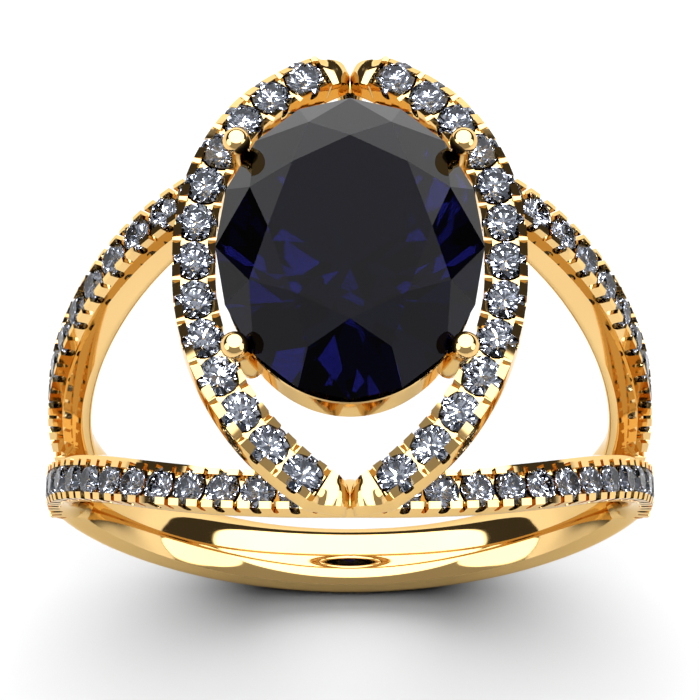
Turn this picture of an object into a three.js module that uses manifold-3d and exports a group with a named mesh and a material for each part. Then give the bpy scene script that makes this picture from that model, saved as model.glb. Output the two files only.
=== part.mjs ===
// An engagement ring: a split shank whose front and rear arches carry rows of small diamonds,
// a halo of two crescents, and an oval sapphire in a four-prong basket.
// Millimetres. The origin is the centre of the finger hole, +Y runs along the hole,
// and +Z points at the sapphire.
import * as THREE from 'three';
import { mergeVertices } from 'three/addons/utils/BufferGeometryUtils.js';
import Module from 'manifold-3d';

const wasm = await Module();
wasm.setup();

// Driving dimensions
const GAP = 0.03;             // solder line or setting clearance between two pieces
const BORE_R = 8.25;          // finger hole, US size 6
const SHANK_R = 9.65;         // outside of the band and top of the arch walls
const ROW_HALF = 0.62;        // half the width of a pave row
const PALM_HALF = 1.0;        // half the width of the band on the palm side
const SPREAD = 5.35;          // how far the arches spread beyond PALM_HALF at the top
const SPREAD_ANGLE = 62.3;    // degrees from the top at which half of the spread is left
const JOINT_ANGLE = 104;      // degrees from the top where an arch meets the band
const ARCH_STONES = 13;
const ARCH_STONE_R = 0.5;
const ARCH_FIRST = 9.8;       // degrees from the top to the first and last stone of a row
const ARCH_LAST = 92;
const HALO_X = 4.65;          // halo centreline at the side
const HALO_ARC_R = 7.6;       // plan radius of a crescent
const HALO_STRAIGHT = 0.4;    // half of the straight piece at the side of a crescent
const HALO_Z = 13.68;         // top of the halo walls at the side
const HALO_HALF = 0.7;
const HALO_DEPTH = 1.3;
const HALO_STONES = 13;
const HALO_STONE_R = 0.57;
const HALO_PITCH = 1.29;
const NOSE_X = 0.03;          // distance from a crescent's nose to the middle plane
const NOSE_TAPER = 1.9;       // length over which a crescent narrows to its nose
const NOSE_RATIO = 0.43;
const NOSE_TUCK = 0.25;       // the noses curl in from the crescent's circle
const STONE_A = 4.0;          // sapphire girdle half axes, 10 x 8 mm oval
const STONE_B = 5.0;
const GIRDLE_Z = 14.4;
const GIRDLE_H = 0.12;
const TABLE_Z = 15.75;
const TABLE_RATIO = 0.6;
const CULET_Z = 10.9;
const RAIL_TOP = 13.8;
const RAIL_BOTTOM = 12.4;
const PRONG_R = 0.36;
const BALL_R = 0.42;
const BALL = new THREE.Vector3(3.39, 3.38, 14.69);
const PRONG_FOOT = new THREE.Vector3(2.9, 2.89, 12.1);

const gold = new THREE.MeshStandardMaterial({ color: 0xd9a441, roughness: 0.12, metalness: 1 });
const diamond = new THREE.MeshStandardMaterial({ color: 0xe8ecf4, roughness: 0.02, metalness: 0 });
const sapphire = new THREE.MeshStandardMaterial({ color: 0x0a0d3c, roughness: 0.02, metalness: 0 });

const ring = new THREE.Group();
const rad = THREE.MathUtils.degToRad;

// Closed meshes and booleans

function closed(geometry) {
  const bare = geometry.index ? geometry.toNonIndexed() : geometry.clone();
  bare.deleteAttribute('normal');
  bare.deleteAttribute('uv');
  const merged = mergeVertices(bare, 1e-5);
  const index = merged.index.array;
  const kept = [];
  for (let i = 0; i < index.length; i += 3) {
    const [a, b, c] = [index[i], index[i + 1], index[i + 2]];
    if (a !== b && b !== c && c !== a) kept.push(a, b, c);
  }
  merged.setIndex(kept);
  return merged;
}

function toSolid(geometry) {
  const merged = closed(geometry);
  const vertProperties = new Float32Array(merged.attributes.position.array);
  let triVerts = new Uint32Array(merged.index.array);
  let solid = new wasm.Manifold(new wasm.Mesh({ numProp: 3, vertProperties, triVerts }));
  if (solid.volume() < 0) {
    triVerts = triVerts.map((_, i, all) => all[i - (i % 3) + (2 - (i % 3))]);
    solid = new wasm.Manifold(new wasm.Mesh({ numProp: 3, vertProperties, triVerts }));
  }
  return solid;
}

function toGeometry(solid) {
  const mesh = solid.getMesh();
  const geometry = new THREE.BufferGeometry();
  geometry.setAttribute('position', new THREE.BufferAttribute(mesh.vertProperties, 3));
  geometry.setIndex(new THREE.BufferAttribute(mesh.triVerts, 1));
  geometry.computeVertexNormals();
  return geometry;
}

// A body through a list of sections with equal point counts, capped at both ends.
function loft(sections) {
  const count = sections[0].points.length;
  const positions = [];
  for (const s of sections) {
    for (const [across, up] of s.points) {
      const p = s.at.clone().addScaledVector(s.side, across).addScaledVector(s.up, up);
      positions.push(p.x, p.y, p.z);
    }
  }
  const index = [];
  for (let s = 0; s + 1 < sections.length; s += 1) {
    for (let i = 0; i < count; i += 1) {
      const [a, b] = [s * count + i, s * count + ((i + 1) % count)];
      index.push(a, b, b + count, a, b + count, a + count);
    }
  }
  const cap = (s, flip) => {
    const outline = sections[s].points.map(([x, y]) => new THREE.Vector2(x, y));
    for (const [a, b, c] of THREE.ShapeUtils.triangulateShape(outline, [])) {
      const face = flip ? [c, b, a] : [a, b, c];
      index.push(...face.map((i) => s * count + i));
    }
  };
  const clockwise = THREE.ShapeUtils.isClockWise(
    sections[0].points.map(([x, y]) => new THREE.Vector2(x, y)),
  );
  cap(0, !clockwise);
  cap(sections.length - 1, clockwise);
  const geometry = new THREE.BufferGeometry();
  geometry.setAttribute('position', new THREE.Float32BufferAttribute(positions, 3));
  geometry.setIndex(clockwise ? index.reverse() : index);
  return geometry;
}

function addPiece(name, geometry, material) {
  const mesh = new THREE.Mesh(geometry, material);
  mesh.name = name;
  ring.add(mesh);
  return mesh;
}

// Shank curves

// Distance from the middle plane to the outer flank, at an angle from the top.
function flank(degrees) {
  const fall = Math.exp(-Math.LN2 * (Math.abs(degrees) / SPREAD_ANGLE) ** 2.25);
  return PALM_HALF + SPREAD * Math.max(0, fall - 0.002);
}

// A frame on an arch row: at the hole's axis height, side points to the outer flank.
function archFrame(degrees) {
  const a = rad(degrees);
  const step = 0.5;
  const slope = (flank(degrees + step) - flank(degrees - step)) / (2 * rad(step)) / SHANK_R;
  const up = new THREE.Vector3(-Math.sin(a), 0, Math.cos(a));
  const along = new THREE.Vector3(-Math.cos(a), -slope, -Math.sin(a)).normalize();
  const side = new THREE.Vector3().crossVectors(up, along).normalize();
  if (side.y > 0) side.negate();
  const at = new THREE.Vector3(0, -(flank(degrees) - ROW_HALF), 0);
  return { at, side, up };
}

// Angles of the stones in a row, equally spaced along the arch.
function rowAngles() {
  const steps = 400;
  const lengths = [0];
  const point = (k) => {
    const degrees = ARCH_FIRST + ((ARCH_LAST - ARCH_FIRST) * k) / steps;
    const f = archFrame(degrees);
    return f.at.addScaledVector(f.up, SHANK_R);
  };
  for (let k = 1; k <= steps; k += 1) {
    lengths.push(lengths[k - 1] + point(k).distanceTo(point(k - 1)));
  }
  const total = lengths[steps];
  return Array.from({ length: ARCH_STONES }, (_, i) => {
    const target = (total * i) / (ARCH_STONES - 1);
    const k = lengths.findIndex((length) => length >= target - 1e-9);
    return ARCH_FIRST + ((ARCH_LAST - ARCH_FIRST) * k) / steps;
  });
}

function angleSteps(from, to, count) {
  return Array.from({ length: count + 1 }, (_, i) => from + ((to - from) * i) / count);
}

// Small round brilliants, eight-sided, girdle at z = 0

function brilliant(radius) {
  const profile = [
    [0, -0.82 * radius],
    [radius, 0],
    [0.6 * radius, 0.3 * radius],
    [0, 0.3 * radius],
  ].map(([x, y]) => new THREE.Vector2(x, y));
  return new THREE.LatheGeometry(profile, 8).rotateX(Math.PI / 2);
}

// The hole drilled for a brilliant: a straight wall above the girdle, a cone below it.
function seat(radius) {
  const wide = radius + GAP;
  const profile = [
    [0, -0.9 * radius - GAP],
    [wide, -GAP],
    [wide, 2 * radius],
    [0, 2 * radius],
  ].map(([x, y]) => new THREE.Vector2(x, y));
  return new THREE.LatheGeometry(profile, 8).rotateX(Math.PI / 2);
}

function stoneMatrix(frame, height) {
  const along = new THREE.Vector3().crossVectors(frame.side, frame.up);
  const matrix = new THREE.Matrix4().makeBasis(frame.side, along, frame.up);
  return matrix.setPosition(frame.at.clone().addScaledVector(frame.up, height));
}

// Arches: one row of stones on a rounded body, with a narrow plain shelf toward the split

const SEAT_SINK = 0.17;       // girdle below the top of the walls
const SHELF_DROP = 0.45;
const SHELF_WIDTH = 0.2;

function archSection(degrees) {
  const room = flank(degrees) - 2 * ROW_HALF - GAP;
  const shelf = Math.min(SHELF_WIDTH * THREE.MathUtils.smoothstep(degrees, 10, 34), room);
  const joining = THREE.MathUtils.smoothstep(degrees, 96, 102);
  const inner = -ROW_HALF - THREE.MathUtils.lerp(shelf, room, joining);
  const middle = (ROW_HALF + inner) / 2;
  const comfort = 0.5;
  return [
    [ROW_HALF, SHANK_R],
    [-ROW_HALF, SHANK_R],
    [-ROW_HALF, SHANK_R - SHELF_DROP],
    [inner, SHANK_R - SHELF_DROP - 0.05],
    [inner, BORE_R + comfort],
    [inner + 0.18, BORE_R + 0.14],
    [middle, BORE_R],
    [ROW_HALF - 0.18, BORE_R + 0.14],
    [ROW_HALF, BORE_R + comfort],
  ];
}

function archBody() {
  const sections = angleSteps(0.2, JOINT_ANGLE, 18)
    .map((degrees) => ({ ...archFrame(degrees), points: archSection(degrees) }));
  sections[sections.length - 1].side.set(0, -1, 0);
  let body = toSolid(loft(sections));
  for (const degrees of rowAngles()) {
    const place = stoneMatrix(archFrame(degrees), SHANK_R - SEAT_SINK);
    body = body.subtract(toSolid(seat(ARCH_STONE_R).applyMatrix4(place)));
  }
  return toGeometry(body);
}

// Copies of a front-left piece for the four quarters of the ring.
const quarters = [
  ['front_left', 1, 1],
  ['front_right', -1, 1],
  ['rear_left', 1, -1],
  ['rear_right', -1, -1],
];

function mirrored(geometry, flipX, flipY) {
  const copy = closed(geometry.clone().scale(flipX, flipY, 1));
  if (flipX * flipY < 0) copy.setIndex([...copy.index.array].reverse());
  copy.computeVertexNormals();
  return copy;
}

function addArches() {
  const body = archBody();
  for (const [quarter, flipX, flipY] of quarters) {
    addPiece(`arch_${quarter}`, mirrored(body, flipX, flipY), gold);
  }
}

// Row diamonds: a few neighbours share a node, tied at the girdle by a hair-thin web.
function addRowDiamonds() {
  const angles = rowAngles();
  const groups = [[0, 1, 2, 3], [4, 5, 6], [7, 8, 9], [10, 11, 12]];
  const webHalf = 0.03;
  groups.forEach((members, g) => {
    let row = null;
    for (const i of members) {
      const place = stoneMatrix(archFrame(angles[i]), SHANK_R - SEAT_SINK);
      const stone = toSolid(brilliant(ARCH_STONE_R).applyMatrix4(place));
      row = row ? row.add(stone) : stone;
    }
    const first = angles[members[0]];
    const last = angles[members[members.length - 1]];
    const web = angleSteps(first, last, 2 * (members.length - 1)).map((degrees) => ({
      ...archFrame(degrees),
      points: [
        [webHalf, SHANK_R - SEAT_SINK],
        [-webHalf, SHANK_R - SEAT_SINK],
        [-webHalf, SHANK_R - SEAT_SINK - 2 * webHalf],
        [webHalf, SHANK_R - SEAT_SINK - 2 * webHalf],
      ],
    }));
    row = row.add(toSolid(loft(web)));
    const geometry = toGeometry(row);
    for (const [quarter, flipX, flipY] of quarters) {
      addPiece(`diamonds_${quarter}_${g + 1}`, mirrored(geometry, flipX, flipY), diamond);
    }
  });
}

// Palm-side band: plain, comfort-fit inside, rounded outer edges

function addBand() {
  const sections = angleSteps(JOINT_ANGLE + 0.25, 360 - JOINT_ANGLE - 0.25, 26).map((degrees) => {
    const h = flank(Math.min(degrees, 360 - degrees));
    const half = [
      [h, BORE_R + 0.36],
      [h, SHANK_R - 0.45],
      [h - 0.13, SHANK_R - 0.13],
      [h - 0.45, SHANK_R],
    ];
    const back = half.map(([x, y]) => [-x, y]).reverse();
    const inner = [[-0.78 * h, BORE_R + 0.14], [-0.4 * h, BORE_R + 0.02], [0, BORE_R],
      [0.4 * h, BORE_R + 0.02], [0.78 * h, BORE_R + 0.14]];
    const a = rad(degrees);
    return {
      at: new THREE.Vector3(),
      side: new THREE.Vector3(0, 1, 0),
      up: new THREE.Vector3(-Math.sin(a), 0, Math.cos(a)),
      points: [...half, ...back, ...inner],
    };
  });
  addPiece('palm_band', toGeometry(toSolid(loft(sections))), gold);
}

// Halo crescents

const HALO_ARC_X = HALO_X - HALO_ARC_R;
const HALO_NOSE_TURN = Math.acos((-0.2 - HALO_ARC_X) / HALO_ARC_R);
const HALO_HALF_LENGTH = HALO_STRAIGHT + HALO_ARC_R * HALO_NOSE_TURN;

function haloPoint(s) {
  const turn = Math.max(0, Math.abs(s) - HALO_STRAIGHT) / HALO_ARC_R;
  const y = Math.sign(s) * (Math.min(Math.abs(s), HALO_STRAIGHT) + HALO_ARC_R * Math.sin(turn));
  const z = HALO_Z - 0.004 * y ** 2 - 0.00035 * y ** 4;
  return new THREE.Vector3(HALO_ARC_X + HALO_ARC_R * Math.cos(turn), y, z);
}

// A frame on the right-hand crescent: side points outward, up is square to the wall tops.
function haloFrame(s) {
  const along = haloPoint(s + 0.02).sub(haloPoint(s - 0.02)).normalize();
  const up = new THREE.Vector3(0, 0, 1).addScaledVector(along, -along.z).normalize();
  return { at: haloPoint(s), side: new THREE.Vector3().crossVectors(along, up), up };
}

function haloStoneLengths() {
  const middle = (HALO_STONES - 1) / 2;
  return Array.from({ length: HALO_STONES }, (_, i) => (i - middle) * HALO_PITCH);
}

function crescentBody() {
  const sections = angleSteps(-HALO_HALF_LENGTH, HALO_HALF_LENGTH, 26).map((s) => {
    const left = Math.min(1, (HALO_HALF_LENGTH - Math.abs(s)) / NOSE_TAPER);
    const half = HALO_HALF * (NOSE_RATIO + (1 - NOSE_RATIO) * left);
    const frame = haloFrame(s);
    frame.at.y -= Math.sign(s) * NOSE_TUCK * (1 - left);
    return {
      ...frame,
      points: [
        [half, 0],
        [-half, 0],
        [-half, -HALO_DEPTH + 0.2],
        [-half + 0.15, -HALO_DEPTH],
        [half - 0.15, -HALO_DEPTH],
        [half, -HALO_DEPTH + 0.2],
      ],
    };
  });
  let body = toSolid(loft(sections));
  for (const s of haloStoneLengths()) {
    const place = stoneMatrix(haloFrame(s), -SEAT_SINK);
    body = body.subtract(toSolid(seat(HALO_STONE_R).applyMatrix4(place)));
  }
  const beyondMiddle = new THREE.BoxGeometry(2, 30, 10).translate(NOSE_X - 1, 0, HALO_Z);
  return body.subtract(toSolid(beyondMiddle));
}

function addHalo(cutters) {
  let crescent = crescentBody();
  for (const cutter of cutters) crescent = crescent.subtract(cutter);
  const body = toGeometry(crescent);
  const stone = toGeometry(toSolid(brilliant(HALO_STONE_R)));
  for (const [hand, flipX] of [['left', -1], ['right', 1]]) {
    addPiece(`halo_${hand}`, mirrored(body, flipX, 1), gold);
    haloStoneLengths().forEach((s, i) => {
      const frame = haloFrame(s);
      frame.at.x *= flipX;
      frame.side.x *= flipX;
      frame.up.x *= flipX;
      const mesh = addPiece(`halo_diamond_${hand}_${i + 1}`, stone, diamond);
      stoneMatrix(frame, -SEAT_SINK).decompose(mesh.position, mesh.quaternion, mesh.scale);
    });
  }
  return [toSolid(body), toSolid(mirrored(body, -1, 1))];
}

// Posts that carry the noses of both crescents on the crown of each arch

function addBridges(crescents) {
  const foot = flank(0) - ROW_HALF;
  const head = foot + 1.2;
  const headZ = 11.6;
  for (const [end, sign] of [['front', -1], ['rear', 1]]) {
    const section = (y, z, halfX, halfY) => ({
      at: new THREE.Vector3(0, sign * y, z),
      side: new THREE.Vector3(1, 0, 0),
      up: new THREE.Vector3(0, sign, 0),
      points: [[halfX, halfY], [-halfX, halfY], [-halfX, -halfY], [halfX, -halfY]],
    });
    let post = toSolid(loft([
      section(foot, SHANK_R + GAP, 0.55, 0.45),
      section(foot + 0.45, (SHANK_R + headZ) / 2, 0.45, 0.35),
      section(head, headZ, 0.7, 0.3),
    ]));
    for (const crescent of crescents) {
      post = post.subtract(crescent).subtract(crescent.translate(0, 0, -GAP));
    }
    addPiece(`bridge_${end}`, toGeometry(post), gold);
  }
}

// Sapphire, basket rail and prongs

function ovalTurned(profile, sides) {
  const points = profile.map(([x, z]) => new THREE.Vector2(x, z));
  return new THREE.LatheGeometry(points, sides).rotateX(Math.PI / 2).scale(STONE_A, STONE_B, 1);
}

function sapphireBody(grow) {
  return ovalTurned([
    [0, CULET_Z - grow],
    [1 + grow, GIRDLE_Z - GIRDLE_H],
    [1 + grow, GIRDLE_Z],
    [TABLE_RATIO + grow, TABLE_Z + grow],
    [0, TABLE_Z + grow],
  ], 24);
}

function prongBody(grow) {
  const axis = BALL.clone().sub(PRONG_FOOT);
  const length = axis.length();
  const shaft = new THREE.CylinderGeometry(PRONG_R + grow, PRONG_R + grow, length, 10)
    .translate(0, length / 2 - (grow > 0 ? grow : 0), 0)
    .applyQuaternion(new THREE.Quaternion().setFromUnitVectors(
      new THREE.Vector3(0, 1, 0),
      axis.normalize(),
    ))
    .translate(PRONG_FOOT.x, PRONG_FOOT.y, PRONG_FOOT.z);
  const ball = new THREE.SphereGeometry(BALL_R + grow, 12, 8).rotateX(Math.PI / 2)
    .translate(BALL.x, BALL.y, BALL.z);
  return toSolid(shaft).add(toSolid(ball));
}

function fourProngs(solid) {
  const geometry = toGeometry(solid);
  return quarters.map(([, flipX, flipY]) => mirrored(geometry, -flipX, -flipY));
}

function addBasket() {
  addPiece('center_sapphire', toGeometry(toSolid(sapphireBody(0))), sapphire);
  const prong = prongBody(0).subtract(toSolid(sapphireBody(0.01)));
  fourProngs(prong).forEach((geometry, i) => addPiece(`prong_${quarters[i][0]}`, geometry, gold));
  const cutters = fourProngs(prongBody(GAP)).map(toSolid);
  let rail = toSolid(ovalTurned([
    [0.86, RAIL_TOP],
    [0.8, RAIL_BOTTOM],
    [0.93, RAIL_BOTTOM],
    [0.972, RAIL_TOP],
    [0.86, RAIL_TOP],
  ], 40));
  for (const cutter of cutters) rail = rail.subtract(cutter);
  addPiece('gallery_rail', toGeometry(rail), gold);
  return cutters;
}

addBand();
addArches();
addRowDiamonds();
const prongCutters = addBasket();
addBridges(addHalo(prongCutters));

export default ring;
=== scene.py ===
# An engagement ring in yellow gold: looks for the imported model, built around its frame.
# Shapes are written in millimetres and turned into metres when a mesh is made.
import math

import bmesh
import bpy
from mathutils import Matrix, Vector


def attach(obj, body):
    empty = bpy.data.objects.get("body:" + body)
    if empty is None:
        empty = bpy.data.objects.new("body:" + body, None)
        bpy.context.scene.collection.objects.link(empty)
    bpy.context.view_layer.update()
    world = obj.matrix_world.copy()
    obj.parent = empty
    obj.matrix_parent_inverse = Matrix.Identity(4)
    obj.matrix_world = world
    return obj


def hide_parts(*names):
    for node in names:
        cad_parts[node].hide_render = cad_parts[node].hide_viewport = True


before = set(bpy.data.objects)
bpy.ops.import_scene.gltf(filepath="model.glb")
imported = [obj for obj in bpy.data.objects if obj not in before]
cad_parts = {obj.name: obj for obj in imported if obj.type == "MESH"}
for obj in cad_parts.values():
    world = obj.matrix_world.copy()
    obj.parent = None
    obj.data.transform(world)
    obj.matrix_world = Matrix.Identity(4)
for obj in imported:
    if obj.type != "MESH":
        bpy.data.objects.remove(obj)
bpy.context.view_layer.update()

MM = 0.001

# Driving dimensions, the CAD model's apart from four: there ARCH_STONE_R is 0.5, HALO_STONE_R 0.57,
# HALO_HALF 0.7 and TABLE_Z 15.75.
BORE_R = 8.25
SHANK_R = 9.65
ROW_HALF = 0.62
PALM_HALF = 1.0
SPREAD = 5.35
SPREAD_ANGLE = 62.3
JOINT_ANGLE = 104.0
ARCH_STONES = 13
ARCH_STONE_R = 0.56
ARCH_FIRST = 9.8
ARCH_LAST = 92.0
HALO_X = 4.65
HALO_ARC_R = 7.6
HALO_STRAIGHT = 0.4
HALO_Z = 13.68
HALO_HALF = 0.65
HALO_DEPTH = 1.3
HALO_STONES = 13
HALO_STONE_R = 0.62
HALO_PITCH = 1.29
STONE_A = 4.0
STONE_B = 5.0
GIRDLE_Z = 14.4
TABLE_Z = 15.79
CULET_Z = 10.9
RAIL_TOP = 13.8
RAIL_BOTTOM = 12.4
BALL = (3.39, 3.38, 14.69)
BALL_R = 0.42
PRONG_R = 0.36
PRONG_FOOT = (2.9, 2.89, 12.1)
SEAT_SINK = 0.17              # girdles below the wall tops
ARCH_WALL = 0.2               # thickness of the walls beside the stones
HALO_WALL = 0.25
ARCH_LEAN = 0.07              # drop of a wall's outer edge below its top
HALO_LEAN = 0.18
FLOOR_POINTS = 9              # points across the floor between two walls
ARCH_FLOOR = 0.24             # depth of the floor below the wall tops, between the pits
HALO_FLOOR = 0.23
OUTER_NOTCH = 0.5             # depth of the cuts in an arch's walls
OUTER_GROOVE = 0.46
INNER_NOTCH = 0.42
INNER_GROOVE = 0.36
HALO_NOTCH = 0.5
HALO_GROOVE = 0.21

# Signs of X and Y that turn the rear right arm, or a prong, into each of the four
QUARTERS = {
    "front_left": (-1, -1),
    "front_right": (1, -1),
    "rear_left": (-1, 1),
    "rear_right": (1, 1),
}


# Meshes

def make_piece(name, points, faces, material, smooth_degrees=30, body="root"):
    mesh = bpy.data.meshes.new(name)
    mesh.from_pydata([tuple(c * MM for c in p) for p in points], [], faces)
    mesh.validate()
    mesh.materials.append(material)
    piece = bpy.data.objects.new(name, mesh)
    bpy.context.collection.objects.link(piece)
    tidy_normals(mesh)
    if smooth_degrees:
        mesh.polygons.foreach_set("use_smooth", [True] * len(mesh.polygons))
        mesh.set_sharp_from_angle(angle=math.radians(smooth_degrees))
    if body:
        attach(piece, body)
    return piece


def tidy_normals(mesh):
    bm = bmesh.new()
    bm.from_mesh(mesh)
    bmesh.ops.remove_doubles(bm, verts=bm.verts, dist=0.0005 * MM)
    bmesh.ops.dissolve_degenerate(bm, edges=bm.edges, dist=0.0002 * MM)
    bmesh.ops.recalc_face_normals(bm, faces=bm.faces)
    bm.to_mesh(mesh)
    bm.free()


def loft(rings):
    """Points and faces of a closed body through rings of equal length."""
    count = len(rings[0])
    points = [p for ring in rings for p in ring]
    faces = []
    for r in range(len(rings) - 1):
        for i in range(count):
            a = r * count + i
            b = r * count + (i + 1) % count
            faces.append((a, b, b + count, a + count))
    faces.append(tuple(reversed(range(count))))
    last = (len(rings) - 1) * count
    faces.append(tuple(range(last, last + count)))
    return points, faces


def flipped(points, flip_x, flip_y):
    return [(p[0] * flip_x, p[1] * flip_y, p[2]) for p in points]


def smoothstep(x, low, high):
    t = min(1.0, max(0.0, (x - low) / (high - low)))
    return t * t * (3 - 2 * t)


def mix(a, b, t):
    return a + (b - a) * t


def circle(count):
    """Cosines and sines of evenly spaced angles."""
    angles = [math.tau * k / count for k in range(count)]
    return [(math.cos(a), math.sin(a)) for a in angles]


# Shank curves

def flank(degrees):
    """Distance of the outer flank from the middle plane, at an angle from the top."""
    fall = math.exp(-math.log(2) * (abs(degrees) / SPREAD_ANGLE) ** 2.25)
    return PALM_HALF + SPREAD * max(0.0, fall - 0.002)


def arch_frame(degrees):
    """Row frame on the rear right arm: origin, side to the flank, up from the bore."""
    a = math.radians(degrees)
    step = 0.5
    slope = (flank(degrees + step) - flank(degrees - step)) / (2 * math.radians(step)) / SHANK_R
    up = Vector((math.sin(a), 0, math.cos(a)))
    along = Vector((math.cos(a), slope, -math.sin(a))).normalized()
    side = along.cross(up).normalized()
    if side.y < 0:
        side.negate()
    straight = smoothstep(degrees, ARCH_LAST, JOINT_ANGLE)
    side = side.lerp(Vector((0, 1, 0)), straight).normalized()
    return Vector((0, flank(degrees) - ROW_HALF, 0)), side, up


def row_point(degrees):
    at, side, up = arch_frame(degrees)
    return at + up * SHANK_R


TABLE_STEP = 0.05             # degrees between the rows of the table of lengths


def row_table():
    """Angles and arc lengths along a row, for turning lengths into angles."""
    angles = [TABLE_STEP * k for k in range(int(JOINT_ANGLE / TABLE_STEP) + 1)]
    lengths = [0.0]
    for k in range(1, len(angles)):
        lengths.append(lengths[-1] + (row_point(angles[k]) - row_point(angles[k - 1])).length)
    return angles, lengths


ROW_ANGLES, ROW_LENGTHS = row_table()


def angle_at(length):
    if length <= 0:
        return 0.0
    low, high = 0, len(ROW_LENGTHS) - 1
    while high - low > 1:
        middle = (low + high) // 2
        if ROW_LENGTHS[middle] < length:
            low = middle
        else:
            high = middle
    span = ROW_LENGTHS[high] - ROW_LENGTHS[low]
    return mix(ROW_ANGLES[low], ROW_ANGLES[high], min(1.0, (length - ROW_LENGTHS[low]) / span))


def length_at(degrees):
    return ROW_LENGTHS[round(degrees / TABLE_STEP)]


ROW_START = length_at(ARCH_FIRST)
ROW_PITCH = (length_at(ARCH_LAST) - ROW_START) / (ARCH_STONES - 1)


# Pave: walls notched beside each stone and between neighbours

MARK_EDGE = 0.004             # from the last section of a cut to the first one of the whole wall
SEAT_GAP = 0.05               # the floor's pits are this much deeper than the stones' girdles
SEAT_SLOPE = 0.86
SEAT_LIMIT = 0.68
SEAT_INSET = 0.04             # a pit is this much narrower than its stone


class Row:
    """Notches and floor of a pave row whose stones sit at given lengths."""

    def __init__(self, stones, pitch, radius, open_half, slit_half, end_slits):
        self.stones = stones
        self.pitch = pitch
        self.radius = radius
        self.open_half = open_half
        self.slit_half = slit_half
        self.slits = [s + pitch / 2 for s in stones[:-1]] + end_slits
        self.marks = sorted(self.make_marks())

    def make_marks(self):
        """Lengths that need a section: both ends and the bend of each cut, and the pits."""
        bends = [math.sin(math.radians(a)) for a in (18, 36, 54, 68, 80, 90)]
        offsets = [bend * self.open_half for bend in bends]
        offsets += [self.open_half + MARK_EDGE, 0.25, 0.36, 0.45]
        offsets += [self.radius - 0.06, self.radius - 0.02]
        for c in self.stones:
            yield c
            for offset in offsets:
                yield c - offset
                yield c + offset
        for c in self.slits:
            yield c
            for offset in (self.slit_half, self.slit_half + MARK_EDGE):
                yield c - offset
                yield c + offset

    def cut(self, s, open_depth, slit_depth):
        """Depth of a round-bottomed notch beside a stone, or of a V groove between two."""
        found = 0.0
        offset = min(abs(s - c) for c in self.stones)
        if offset < self.open_half * 1.0001:
            round_off = self.open_half - math.sqrt(max(0.0, self.open_half ** 2 - offset ** 2))
            found = open_depth - round_off
        offset = min(abs(s - c) for c in self.slits)
        if offset < self.slit_half * 1.0001:
            found = max(found, slit_depth - offset)
        return found

    def floor(self, s, x, rest):
        """Depth of the channel floor below the wall tops: conical pits in a flat."""
        near = min(math.hypot(s - c, x) for c in self.stones)
        if near > self.radius - SEAT_INSET:
            return rest
        return min(SEAT_LIMIT, SEAT_SINK + SEAT_GAP + SEAT_SLOPE * (self.radius - near))


ARCH_END_SLITS = (-0.5, ARCH_STONES - 0.5, ARCH_STONES, ARCH_STONES + 0.5)
ARCH_ROW = Row(
    stones=[ROW_START + i * ROW_PITCH for i in range(ARCH_STONES)],
    pitch=ROW_PITCH,
    radius=ARCH_STONE_R,
    open_half=0.145,
    slit_half=0.08,
    end_slits=[ROW_START + k * ROW_PITCH for k in ARCH_END_SLITS],
)
HALO_MIDDLE = (HALO_STONES - 1) / 2
HALO_LAST_SLIT = HALO_MIDDLE * HALO_PITCH + 0.57
HALO_ROW = Row(
    stones=[(i - HALO_MIDDLE) * HALO_PITCH for i in range(HALO_STONES)],
    pitch=HALO_PITCH,
    radius=HALO_STONE_R,
    open_half=0.15,
    slit_half=0.11,
    end_slits=[-HALO_LAST_SLIT, HALO_LAST_SLIT],
)


# Band and arches

WALL_FOOT = 0.66              # depth of the outer wall below its top
SHELF_DROP = 0.45             # polished shelf below the wall on the side of the split
SHELF_WIDTH = 0.2
FLARE = 0.1                   # the side face below the shelf widens towards the finger
EDGE_ROUND = 0.45
MIDDLE_TRIM = 0.45            # the arches narrow where the noses meet over them
TRIM_START = 2.4              # degrees from the top
TRIM_END = 5.4
INNER_FOOT = 0.34             # height above the bore at which the inner side face ends
INNER_CORNER = 0.24
INNER_LOW = 0.02
CORNER_SHARE = 0.3            # share of the underside's points on its rounded inner corner
DOME_STEPS = 14
TOP_POINTS = 14
COMFORT = 0.36                # rise of the inner surface from the middle to the edges


def inner_radius(across):
    """Radius of the band's inner surface at a share of its half width."""
    return BORE_R + COMFORT * abs(across) ** 2.4


def band_half(half):
    """Half profile of the plain band: (distance from the middle plane, radius)."""
    outer = [(half, SHANK_R - 0.62), (half, SHANK_R - EDGE_ROUND)]
    for k in range(1, 9):
        turn = math.radians(90 * k / 8)
        outer.append((
            half - EDGE_ROUND * (1 - math.cos(turn)),
            SHANK_R - EDGE_ROUND * (1 - math.sin(turn)),
        ))
    return outer


def arch_end_profile(degrees):
    """The band's half profile in row coordinates, with an arch profile's point order."""
    half = flank(degrees)
    shift = ROW_HALF - half
    outer = band_half(half)
    first = [(x + shift, r) for x, r in outer]
    last_x = first[-1][0]
    top = [(mix(last_x, shift, k / TOP_POINTS), SHANK_R) for k in range(1, TOP_POINTS + 1)]
    below = [(shift, SHANK_R - 0.5)]
    shares = [k / DOME_STEPS for k in range(DOME_STEPS + 1)]
    dome = [(shift + half * share, inner_radius(share)) for share in shares]
    return first + top + below + dome


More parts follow.
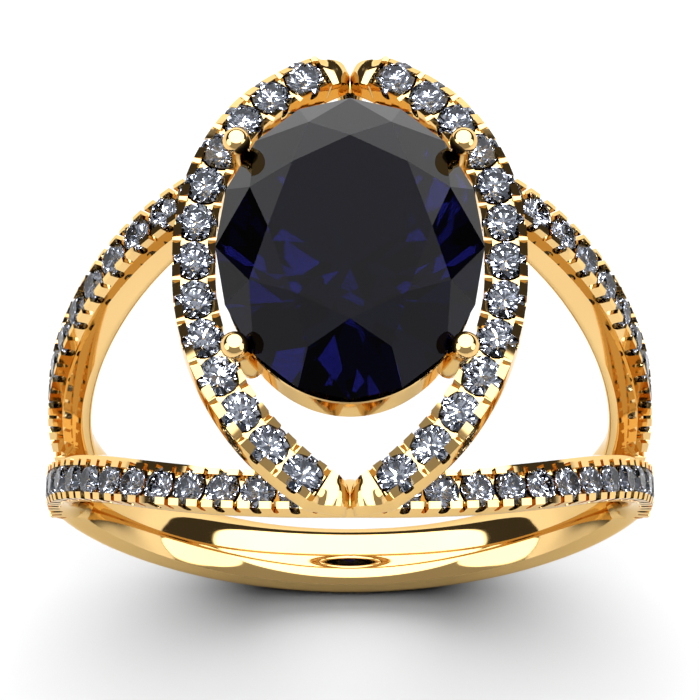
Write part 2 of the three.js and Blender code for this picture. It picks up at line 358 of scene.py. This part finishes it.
def arch_top(s):
    """Top of an arch's section, from the outer wall over the stones' floor to the inner wall."""
    past = s - ARCH_ROW.stones[-1]
    open_row = 1 - smoothstep(past, 0.45, 0.6)
    notched = past < 2 * ROW_PITCH
    outer_top = SHANK_R - (ARCH_ROW.cut(s, OUTER_NOTCH, OUTER_GROOVE) if notched else 0.0)
    inner_top = SHANK_R - (ARCH_ROW.cut(s, INNER_NOTCH, INNER_GROOVE) if notched else 0.0)
    wall = ROW_HALF - ARCH_WALL
    low = SHANK_R - WALL_FOOT
    edge_top = min(outer_top, SHANK_R - ARCH_LEAN * open_row)
    points = [(ROW_HALF, low)]
    points += [(ROW_HALF, mix(low, edge_top, 0.6 + 0.4 * k / 9)) for k in range(1, 10)]
    points.append((wall, outer_top))
    last = FLOOR_POINTS - 1
    limits = {0: outer_top, last: inner_top}
    for k in range(FLOOR_POINTS):
        x = mix(wall, -wall, k / last)
        floor_r = SHANK_R - ARCH_ROW.floor(s, x, ARCH_FLOOR) * open_row
        points.append((x, min(limits.get(k, SHANK_R), floor_r)))
    return points + [(-wall, inner_top), (-ROW_HALF, inner_top)]


def arch_underside(side):
    """Rounded underside of an arch's section, from its inner side face to the outer wall's foot."""
    low = SHANK_R - WALL_FOOT
    points = [(side, BORE_R + INNER_FOOT)]
    for k in range(1, DOME_STEPS):
        t = k / DOME_STEPS
        if t < CORNER_SHARE:
            turn = math.radians(90 * t / CORNER_SHARE)
            x = side + INNER_CORNER * (1 - math.cos(turn))
            r = BORE_R + INNER_FOOT - (INNER_FOOT - INNER_LOW) * math.sin(turn)
        else:
            turn = math.radians(90 * (t - CORNER_SHARE) / (1 - CORNER_SHARE))
            x = mix(side + INNER_CORNER, ROW_HALF, math.sin(turn) ** 1.1)
            r = mix(BORE_R + INNER_LOW, low, 1 - math.cos(turn))
        points.append((x, r))
    return points + [(ROW_HALF, low)]


def arch_profile(degrees, s):
    """An arch's section in row coordinates, which turns into the band's near the joint."""
    room = flank(degrees) - 2 * ROW_HALF
    shelf = max(0.0, min(SHELF_WIDTH * smoothstep(degrees, 10, 34), room))
    flare = max(0.0, min(FLARE * smoothstep(degrees, 20, 50), room - shelf))
    shelf_x = -ROW_HALF - shelf
    side = shelf_x - flare
    shelf_face = [
        (-ROW_HALF, SHANK_R - SHELF_DROP),
        (shelf_x, SHANK_R - SHELF_DROP - 0.03),
        (side, BORE_R + INNER_FOOT + 0.01),
    ]
    points = arch_top(s) + shelf_face + arch_underside(side)
    if degrees < TRIM_END:
        edge = MIDDLE_TRIM * (1 - smoothstep(degrees, TRIM_START, TRIM_END)) - ROW_HALF
        points = [(max(x, edge), r) for x, r in points]
    blend = smoothstep(degrees, ARCH_LAST + 6.5, JOINT_ANGLE - 2)
    end = arch_end_profile(degrees)
    return [(mix(x, ex, blend), mix(r, er, blend)) for (x, r), (ex, er) in zip(points, end)]


def arch_rings():
    total = ROW_LENGTHS[-1]
    trimmed = [0.05 * k for k in range(20)]
    marks = trimmed + [m for m in ARCH_ROW.marks if trimmed[-1] < m < total - 0.2]
    tail = ARCH_ROW.marks[-1]
    marks += [tail + (total - tail) * k / 14 for k in range(1, 15)]
    rings = []
    for s in sorted(marks):
        degrees = angle_at(s)
        at, side, up = arch_frame(degrees)
        rings.append([at + side * x + up * r for x, r in arch_profile(degrees, s)])
    return rings


def add_arches(gold):
    points, faces = loft(arch_rings())
    for quarter, (flip_x, flip_y) in QUARTERS.items():
        piece = make_piece(f"pave_arch_{quarter}", flipped(points, flip_x, flip_y), faces, gold)
        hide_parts(f"arch_{quarter}")


def add_band(gold):
    steps = 90
    rings = []
    for k in range(steps + 1):
        degrees = mix(JOINT_ANGLE, 360 - JOINT_ANGLE, k / steps)
        half = flank(min(degrees, 360 - degrees))
        outer = band_half(half)
        dome = [(half * c / 12, inner_radius(c / 12)) for c in range(-12, 13)]
        profile = outer + [(-x, r) for x, r in reversed(outer)] + dome
        a = math.radians(degrees)
        rings.append([(math.sin(a) * r, y, math.cos(a) * r) for y, r in profile])
    points, faces = loft(rings)
    piece = make_piece("comfort_band", points, faces, gold)
    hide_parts("palm_band")


# Halo

HALO_ARC_X = HALO_X - HALO_ARC_R
NOSE_GAP = 0.003              # from a nose to the middle plane
NOSE_PART = 0.16              # the noses part towards their undersides
NOSE_DEPTH = 0.95             # depth of a nose at its tip
NOSE_SECTIONS = 24


def halo_point(s):
    turn = max(0.0, abs(s) - HALO_STRAIGHT) / HALO_ARC_R
    radius = HALO_ARC_R - 0.05 * smoothstep(abs(s), 5, 8.4)
    y = math.copysign(min(abs(s), HALO_STRAIGHT) + radius * math.sin(turn), s)
    return Vector((
        HALO_ARC_X + radius * math.cos(turn),
        y,
        HALO_Z - 0.004 * y ** 2 - 0.00035 * y ** 4,
    ))


def halo_frame(s):
    along = (halo_point(s + 0.02) - halo_point(s - 0.02)).normalized()
    up = (Vector((0, 0, 1)) - along * along.z).normalized()
    return halo_point(s), along.cross(up), up


NOSE_START = HALO_LAST_SLIT + 0.09
NOSE = [
    # inner edge x, y; outer edge x, y; middle z; outward slope; rounding of the edges
    (0.500, 6.43, 1.08, 7.45, 12.64, 0.00, 0.05),
    (0.390, 6.50, 0.84, 7.47, 12.56, 0.20, 0.14),
    (0.280, 6.57, 0.60, 7.46, 12.48, 0.15, 0.10),
    (0.180, 6.64, 0.36, 7.44, 12.38, 0.10, 0.10),
    (0.080, 6.70, 0.16, 7.38, 12.22, 0.10, 0.14),
    (0.004, 6.75, 0.004, 7.26, 11.94, 0.12, 0.20),
]


def along_table(rows, share):
    """Values of a table at a share of its length, on a smooth curve through its rows."""
    place = share * (len(rows) - 1)
    k = min(int(place), len(rows) - 2)
    t = place - k
    before, a, b, after = (rows[min(max(k + step, 0), len(rows) - 1)] for step in (-1, 0, 1, 2))
    values = []
    for p, q, r, u in zip(before, a, b, after):
        square = 2 * p - 5 * q + 4 * r - u
        cube = 3 * q - p - 3 * r + u
        values.append(0.5 * (2 * q + (r - p) * t + square * t ** 2 + cube * t ** 3))
    return values


def halo_profile(half, cut, floor, slope, rounding, lean, thickness):
    """A crescent's section: walls `cut` deep, and a floor whose depth is a function of x."""
    wall = half - HALO_WALL * half / HALO_HALF

    def dome(x):
        """Drop of a nose's rounded top at a distance from its middle."""
        return slope * x + rounding * (x / half) ** 2

    points = [(half, -max(cut, lean) - dome(half)), (wall, -cut - dome(wall))]
    last = FLOOR_POINTS - 1
    for k in range(FLOOR_POINTS):
        x = mix(wall, -wall, k / last)
        depth = floor(x) if 0 < k < last else max(cut, floor(x))
        points.append((x, -depth - dome(x)))
    points += [(-wall, -max(cut, lean) - dome(-wall)), (-half, -cut - dome(-half))]
    bottom = -thickness
    corner = min(0.3, half * 0.6)
    turns = [math.radians(15 * k) for k in range(7)]
    corners = [(corner * (1 - math.cos(t)), bottom + corner * (1 - math.sin(t))) for t in turns]
    points += [(-half + x, z) for x, z in corners]
    points += [(half - x, z) for x, z in reversed(corners)]
    return points


def halo_half(s):
    return HALO_HALF - 0.065 * smoothstep(abs(s), 5.5, 8.4)


def row_ring(s):
    at, side, up = halo_frame(s)
    cut = HALO_ROW.cut(s, HALO_NOTCH, HALO_GROOVE)

    def pits(x):
        return HALO_ROW.floor(s, x, HALO_FLOOR)

    profile = halo_profile(halo_half(s), cut, pits, 0, 0, HALO_LEAN, HALO_DEPTH)
    return [at + side * x + up * z for x, z in profile]


def nose_ring(share, sign):
    """A section of the nose at a share of its length, on the front (-1) or the rear (1)."""
    inner_x, inner_y, outer_x, outer_y, top, slope, rounding = along_table(NOSE, share)
    inner = Vector((inner_x, sign * inner_y, top))
    outer = Vector((outer_x, sign * outer_y, top))
    side = (outer - inner).normalized()
    row_up = halo_frame(sign * NOSE_START)[2]
    up = row_up.lerp(Vector((0, 0, 1)), smoothstep(share, 0, 0.8)).normalized()
    half = (outer - inner).length / 2
    thickness = mix(HALO_DEPTH, NOSE_DEPTH, share)
    profile = halo_profile(half, 0, lambda x: 0.0, slope, rounding, 0, thickness)
    middle = (inner + outer) / 2
    ring = []
    for x, z in profile:
        point = middle + side * x + up * z
        point.x = max(NOSE_GAP, point.x) - NOSE_PART * share ** 3 * z
        ring.append(point)
    return ring


def halo_rings():
    marks = [m for m in HALO_ROW.marks if abs(m) < NOSE_START]
    shares = [k / NOSE_SECTIONS for k in range(NOSE_SECTIONS + 1)]
    front = [nose_ring(share, -1) for share in reversed(shares)]
    rear = [nose_ring(share, 1) for share in shares]
    return front + [row_ring(s) for s in marks] + rear


def add_halo(gold, diamond):
    points, faces = loft(halo_rings())
    stone_points, stone_faces = brilliant(HALO_STONE_R)
    for hand, flip in (("left", -1), ("right", 1)):
        piece = make_piece(f"pave_crescent_{hand}", flipped(points, flip, 1), faces, gold)
        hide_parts(f"halo_{hand}")
        frames = [halo_frame(s) for s in HALO_ROW.stones]
        placed = place_stones(frames, -SEAT_SINK, stone_points, stone_faces)
        stones = make_piece(
            f"crescent_diamonds_{hand}", flipped(placed[0], flip, 1), placed[1], diamond, 0)
        names = [f"halo_diamond_{hand}_{i + 1}" for i in range(HALO_STONES)]
        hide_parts(*names)


# Stones

def brilliant(radius, table=0.56, star=0.76, crown=0.3, depth=0.86, lower=0.24, girdle=0.03):
    """A round brilliant of unit proportions: table, stars, kites, girdle, pavilion."""
    points = []
    faces = []

    def ring(count, r, z, offset):
        start = len(points)
        for k in range(count):
            a = 2 * math.pi * (k + offset) / count
            points.append((r * math.cos(a), r * math.sin(a), z))
        return [start + k for k in range(count)]

    cosine = math.cos(math.pi / 8)
    top = ring(8, table, crown + girdle, 0)
    stars = ring(8, star, girdle + crown * (1 - star * cosine) / (1 - table), 0.5)
    upper = ring(16, 1.0, girdle, 0)
    under = ring(16, 1.0, 0.0, 0)
    lows = ring(8, lower, -depth * (1 - lower * cosine), 0.5)
    points.append((0.0, 0.0, -depth))
    culet = len(points) - 1
    faces.append(tuple(top))
    for k in range(8):
        before, after = (k - 1) % 8, (k + 1) % 8
        faces.append((top[k], stars[k], top[after]))
        faces.append((top[k], stars[before], upper[2 * k], stars[k]))
        faces.append((stars[k], upper[2 * k], upper[2 * k + 1]))
        faces.append((stars[k], upper[2 * k + 1], upper[(2 * k + 2) % 16]))
        faces.append((under[2 * k], lows[before], culet, lows[k]))
        faces.append((under[2 * k], lows[k], under[2 * k + 1]))
        faces.append((under[2 * k + 1], lows[k], under[(2 * k + 2) % 16]))
    for k in range(16):
        after = (k + 1) % 16
        faces.append((upper[k], under[k], under[after], upper[after]))
    return [(x * radius, y * radius, z * radius) for x, y, z in points], faces


def place_stones(frames, height, stone_points, stone_faces):
    points = []
    faces = []
    for i, (at, side, up) in enumerate(frames):
        along = up.cross(side)
        turn = math.radians(11 + 37 * i)
        axis_x = side * math.cos(turn) + along * math.sin(turn)
        axis_y = up.cross(axis_x)
        start = len(points)
        points += [at + axis_x * x + axis_y * y + up * (z + height) for x, y, z in stone_points]
        faces += [tuple(start + v for v in face) for face in stone_faces]
    return points, faces


def add_row_diamonds(diamond):
    frames = [arch_frame(angle_at(s)) for s in ARCH_ROW.stones]
    placed = place_stones(frames, SHANK_R - SEAT_SINK, *brilliant(ARCH_STONE_R))
    for quarter, (flip_x, flip_y) in QUARTERS.items():
        stones = make_piece(
            f"row_diamonds_{quarter}", flipped(placed[0], flip_x, flip_y), placed[1], diamond, 0)
        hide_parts(*[f"diamonds_{quarter}_{g}" for g in (1, 2, 3, 4)])


def add_sapphire(sapphire):
    crown = TABLE_Z - GIRDLE_Z
    points, faces = brilliant(
        1.0, table=0.605, star=0.804, crown=crown, depth=GIRDLE_Z - CULET_Z, lower=0.3, girdle=0.0)
    points = [(x * STONE_A, y * STONE_B, z + GIRDLE_Z) for x, y, z in points]
    piece = make_piece("oval_sapphire", points, faces, sapphire, 0)
    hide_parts("center_sapphire")


# Basket

def add_prongs(gold):
    foot = Vector(PRONG_FOOT)
    ball = Vector(BALL)
    axis = (ball - foot).normalized()
    side = axis.cross(Vector((0, 0, 1))).normalized()
    other = axis.cross(side)
    length = (ball - foot).length
    neck_r = PRONG_R * 0.92
    # Distances along the prong and radii: rounded foot, shaft, ball
    stations = [(0.0, 0.12), (0.01, 0.24), (0.06, 0.32), (0.15, PRONG_R)]
    waist = length - math.sqrt(BALL_R ** 2 - neck_r ** 2)
    stations += [(mix(0.15, waist, k / 4), mix(PRONG_R, neck_r, k / 4)) for k in (1, 2, 3, 4)]
    start = math.asin(neck_r / BALL_R)
    for k in range(1, 17):
        turn = mix(start, math.pi - 0.02, k / 16)
        stations.append((length - BALL_R * math.cos(turn), BALL_R * math.sin(turn)))
    rings = []
    for along, r in stations:
        centre = foot + axis * along
        rings.append([centre + side * (r * c) + other * (r * s) for c, s in circle(40)])
    points, faces = loft(rings)
    for quarter, (flip_x, flip_y) in QUARTERS.items():
        name = f"ball_prong_{quarter}"
        piece = make_piece(name, flipped(points, flip_x, flip_y), faces, gold, 35)
        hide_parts(f"prong_{quarter}")


def add_rail(gold):
    # Shares of the stone's half axes, and heights
    profile = [
        (0.86, RAIL_TOP),
        (0.80, RAIL_BOTTOM + 0.05),
        (0.815, RAIL_BOTTOM),
        (0.91, RAIL_BOTTOM),
        (0.93, RAIL_BOTTOM + 0.05),
        (0.968, RAIL_TOP - 0.05),
        (0.962, RAIL_TOP),
    ]
    steps = 160
    rings = [[(r * STONE_A * c, r * STONE_B * s, z) for r, z in profile] for c, s in circle(steps)]
    count = len(profile)
    points = [p for ring in rings for p in ring]
    faces = []
    for r in range(steps):
        after = (r + 1) % steps
        for i in range(count):
            j = (i + 1) % count
            faces.append((r * count + i, r * count + j, after * count + j, after * count + i))
    piece = make_piece("basket_rail", points, faces, gold)
    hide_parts("gallery_rail")


BRIDGE_TOP = 11.5
BRIDGE_REACH = 1.2            # how far a bridge leans out from its arch to the noses


def add_bridges(gold):
    foot = flank(0) - ROW_HALF
    for end, sign in (("front", -1), ("rear", 1)):
        rings = []
        for k in range(13):
            t = k / 12
            y = foot + BRIDGE_REACH * t ** 1.2
            z = mix(SHANK_R - 0.1, BRIDGE_TOP, t)
            half_x = 0.34 + 0.4 * (t - 0.5) ** 2
            half_y = mix(0.36, 0.2, t)
            rings.append([(half_x * c, sign * (y + half_y * s), z) for c, s in circle(24)])
        points, faces = loft(rings)
        piece = make_piece(f"nose_bridge_{end}", points, faces, gold)
        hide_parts(f"bridge_{end}")


# Materials

def new_material(name, **inputs):
    """A Principled material; the keywords name its sockets, with _ for each space."""
    material = bpy.data.materials.new(name)
    material.use_nodes = True
    shader = material.node_tree.nodes["Principled BSDF"]
    for socket, value in inputs.items():
        shader.inputs[socket.replace("_", " ")].default_value = value
    return material


def gold_material():
    """Polished 18 carat gold, with a faint change of tone and polish over the metal."""
    material = new_material("yellow_gold", Metallic=1.0, Specular_Tint=(0.91, 0.79, 0.56, 1))
    nodes = material.node_tree.nodes
    links = material.node_tree.links
    shader = nodes["Principled BSDF"]
    where = nodes.new("ShaderNodeTexCoord")
    tone = nodes.new("ShaderNodeTexNoise")
    tone.inputs["Scale"].default_value = 260.0
    tone.inputs["Detail"].default_value = 2.0
    ramp = nodes.new("ShaderNodeValToRGB")
    dark, light = ramp.color_ramp.elements
    dark.position = 0.3
    dark.color = (0.80, 0.53, 0.215, 1)
    light.position = 0.7
    light.color = (0.84, 0.57, 0.24, 1)
    rough = nodes.new("ShaderNodeMapRange")
    rough.inputs["To Min"].default_value = 0.03
    rough.inputs["To Max"].default_value = 0.07
    links.new(where.outputs["Object"], tone.inputs["Vector"])
    links.new(tone.outputs["Fac"], ramp.inputs["Fac"])
    links.new(tone.outputs["Fac"], rough.inputs["Value"])
    links.new(ramp.outputs["Color"], shader.inputs["Base Color"])
    links.new(rough.outputs["Result"], shader.inputs["Roughness"])
    return material


def stone_material(name, colour, tint, refraction):
    """A clear cut stone: colour is what passes through it, tint what its faces reflect."""
    return new_material(
        name,
        Base_Color=colour,
        Specular_Tint=tint,
        Roughness=0.0,
        IOR=refraction,
        Transmission_Weight=1.0,
    )


def diamond_material():
    return stone_material("diamond", (0.19, 0.205, 0.24, 1), (0.12, 0.13, 0.15, 1), 2.417)


def sapphire_material():
    """IOR is below a real sapphire's 1.77, which would make the crown's reflections too strong."""
    return stone_material("sapphire", (0.0002, 0.0002, 0.003, 1), (0.08, 0.08, 0.09, 1), 1.62)


def floor_material():
    return new_material(
        "pale_floor", Base_Color=(0.9, 0.9, 0.9, 1), Roughness=0.6, Specular_IOR_Level=0.1)


# Stage

def add_floor(material):
    size = 1500
    z = -SHANK_R
    corners = [(-size, -size, z), (size, -size, z), (size, size, z), (-size, size, z)]
    floor = make_piece("floor", corners, [(0, 1, 2, 3)], material, 0, None)


def set_or_link(tree, socket, value):
    """Gives a socket a number or a colour, or links another node's output to it."""
    if isinstance(value, (int, float, tuple)):
        socket.default_value = value
    else:
        tree.links.new(value, socket)


def math_node(tree, operation, *values):
    node = tree.nodes.new("ShaderNodeMath")
    node.operation = operation
    for socket, value in zip(node.inputs, values):
        set_or_link(tree, socket, value)
    return node.outputs[0]


def dot_node(tree, vector, direction):
    node = tree.nodes.new("ShaderNodeVectorMath")
    node.operation = "DOT_PRODUCT"
    node.inputs[1].default_value = direction
    tree.links.new(vector, node.inputs[0])
    return node.outputs["Value"]


def smooth_node(tree, value, low, high):
    node = tree.nodes.new("ShaderNodeMapRange")
    node.interpolation_type = "SMOOTHSTEP"
    node.inputs["From Min"].default_value = low
    node.inputs["From Max"].default_value = high
    tree.links.new(value, node.inputs["Value"])
    return node.outputs["Result"]


def mix_colours(tree, share, first, second):
    node = tree.nodes.new("ShaderNodeMix")
    node.data_type = "RGBA"
    tree.links.new(share, node.inputs[0])
    set_or_link(tree, node.inputs[6], first)
    set_or_link(tree, node.inputs[7], second)
    return node.outputs[2]


def softbox(tree, direction, tilt_degrees, half_side, half_depth, edge):
    """Share of a soft oval light in a direction, tilted from the zenith towards +Y."""
    tilt = math.radians(tilt_degrees)
    middle = (0, math.sin(tilt), math.cos(tilt))
    depth_axis = (0, math.cos(tilt), -math.sin(tilt))
    across = math_node(tree, "DIVIDE", dot_node(tree, direction, (1, 0, 0)), half_side)
    deep = math_node(tree, "DIVIDE", dot_node(tree, direction, depth_axis), half_depth)
    squared = math_node(tree, "ADD", math_node(tree, "MULTIPLY", across, across),
                        math_node(tree, "MULTIPLY", deep, deep))
    inside = smooth_node(tree, squared, 1 + edge, 1 - edge)
    facing = smooth_node(tree, dot_node(tree, direction, middle), -0.05, 0.05)
    return math_node(tree, "MULTIPLY", inside, facing)


SPARKLE_SCALE = 7.0
SPARKLE_DARK = (0.12, 0.14, 0.18, 1)
SPARKLE_LIT = (1.5, 1.5, 1.5, 1)
SPARKLE_FLASH = (24.0, 24.0, 26.0, 1)
ROOM = (0.03, 0.027, 0.022, 1)
ROOM_FRONT = (0.36, 0.35, 0.32, 1)
SIDE_LAMP = (3.0, 3.0, 3.0, 1)
SOFTBOX = (3.9, 3.9, 3.9, 1)
BETWEEN_MIRRORS = (0.8, 0.76, 0.68, 1)    # what a second reflection in the gold sees
BACKDROP = (1.0, 1.0, 1.0, 1)


def sparkle(tree, direction):
    """Broken light and dark patches, seen by rays that leave a stone."""
    cells = tree.nodes.new("ShaderNodeTexVoronoi")
    cells.inputs["Scale"].default_value = SPARKLE_SCALE
    tree.links.new(direction, cells.inputs["Vector"])
    parts = tree.nodes.new("ShaderNodeSeparateColor")
    tree.links.new(cells.outputs["Color"], parts.inputs[0])
    lit = smooth_node(tree, parts.outputs[0], 0.35, 0.7)
    flash = smooth_node(tree, parts.outputs[0], 0.9, 0.97)
    patches = mix_colours(tree, lit, SPARKLE_DARK, SPARKLE_LIT)
    return mix_colours(tree, flash, patches, SPARKLE_FLASH)


def studio_light(tree, direction):
    """What the metal's mirror faces see: a softbox overhead, two side lamps, a dim front."""
    front = smooth_node(tree, dot_node(tree, direction, (0, -1, 0)), 0.02, 0.12)
    room = mix_colours(tree, front, ROOM, ROOM_FRONT)
    for hand in (-1, 1):
        toward_lamp = dot_node(tree, direction, (hand * 0.905, -0.3, 0.3))
        room = mix_colours(tree, smooth_node(tree, toward_lamp, 0.925, 0.937), room, SIDE_LAMP)
    overhead = softbox(tree, direction, tilt_degrees=18, half_side=0.863, half_depth=0.87, edge=0.03)
    return mix_colours(tree, overhead, room, SOFTBOX)


def add_world():
    """Surroundings that mirrors and stones see; the floor is lit by a lamp instead."""
    world = bpy.data.worlds.new("studio")
    bpy.context.scene.world = world
    world.use_nodes = True
    tree = world.node_tree
    direction = tree.nodes.new("ShaderNodeTexCoord").outputs["Generated"]
    path = tree.nodes.new("ShaderNodeLightPath")
    between_mirrors = smooth_node(tree, path.outputs["Glossy Depth"], 0.9, 1.9)
    seen = mix_colours(tree, between_mirrors, studio_light(tree, direction), BETWEEN_MIRRORS)
    seen = mix_colours(tree, path.outputs["Is Transmission Ray"], seen, sparkle(tree, direction))
    seen = mix_colours(tree, path.outputs["Is Camera Ray"], seen, BACKDROP)
    background = tree.nodes["Background"]
    tree.links.new(seen, background.inputs["Color"])
    background.inputs["Strength"].default_value = 1.0
    world.cycles_visibility.diffuse = False


def add_light(name, location, size, power):
    """A soft lamp for the floor, which mirrors don't see."""
    data = bpy.data.lights.new(name, "AREA")
    data.shape = "DISK"
    data.size = size * MM
    data.energy = power
    lamp = bpy.data.objects.new(name, data)
    lamp.location = Vector(location) * MM
    lamp.rotation_euler = Vector(location).to_track_quat("Z", "Y").to_euler()
    lamp.visible_glossy = False
    lamp.visible_transmission = False
    lamp.visible_camera = False
    bpy.context.collection.objects.link(lamp)


SENSOR = 36.0
VIEW_ELEVATION = 64.42        # degrees above the finger's axis, from the front
VIEW_DISTANCE = 175.0
VIEW_TARGET = (0, 0, 7.32)
VIEW_WIDTH = 21.5366          # width of the view at the target


def add_camera():
    elevation = math.radians(VIEW_ELEVATION)
    target = Vector(VIEW_TARGET)
    back = Vector((0, -math.cos(elevation), math.sin(elevation)))
    data = bpy.data.cameras.new("camera")
    data.sensor_width = SENSOR
    data.lens = SENSOR * VIEW_DISTANCE / VIEW_WIDTH
    data.clip_start = 0.01
    data.clip_end = 10.0
    camera = bpy.data.objects.new("camera", data)
    camera.location = (target + back * VIEW_DISTANCE) * MM
    camera.rotation_euler = back.to_track_quat("Z", "Y").to_euler()
    bpy.context.collection.objects.link(camera)
    bpy.context.scene.camera = camera


def set_view():
    scene = bpy.context.scene
    scene.view_settings.view_transform = "Standard"
    scene.view_settings.look = "None"
    # Caustics would colour the floor
    scene.cycles.caustics_reflective = False
    scene.cycles.caustics_refractive = False


set_view()
add_camera()
gold = gold_material()
diamond = diamond_material()
sapphire = sapphire_material()
add_floor(floor_material())
add_world()
add_light("overhead", location=(0, 190, 380), size=900, power=6.0)
add_band(gold)
add_arches(gold)
add_row_diamonds(diamond)
add_halo(gold, diamond)
add_sapphire(sapphire)
add_prongs(gold)
add_rail(gold)
add_bridges(gold)
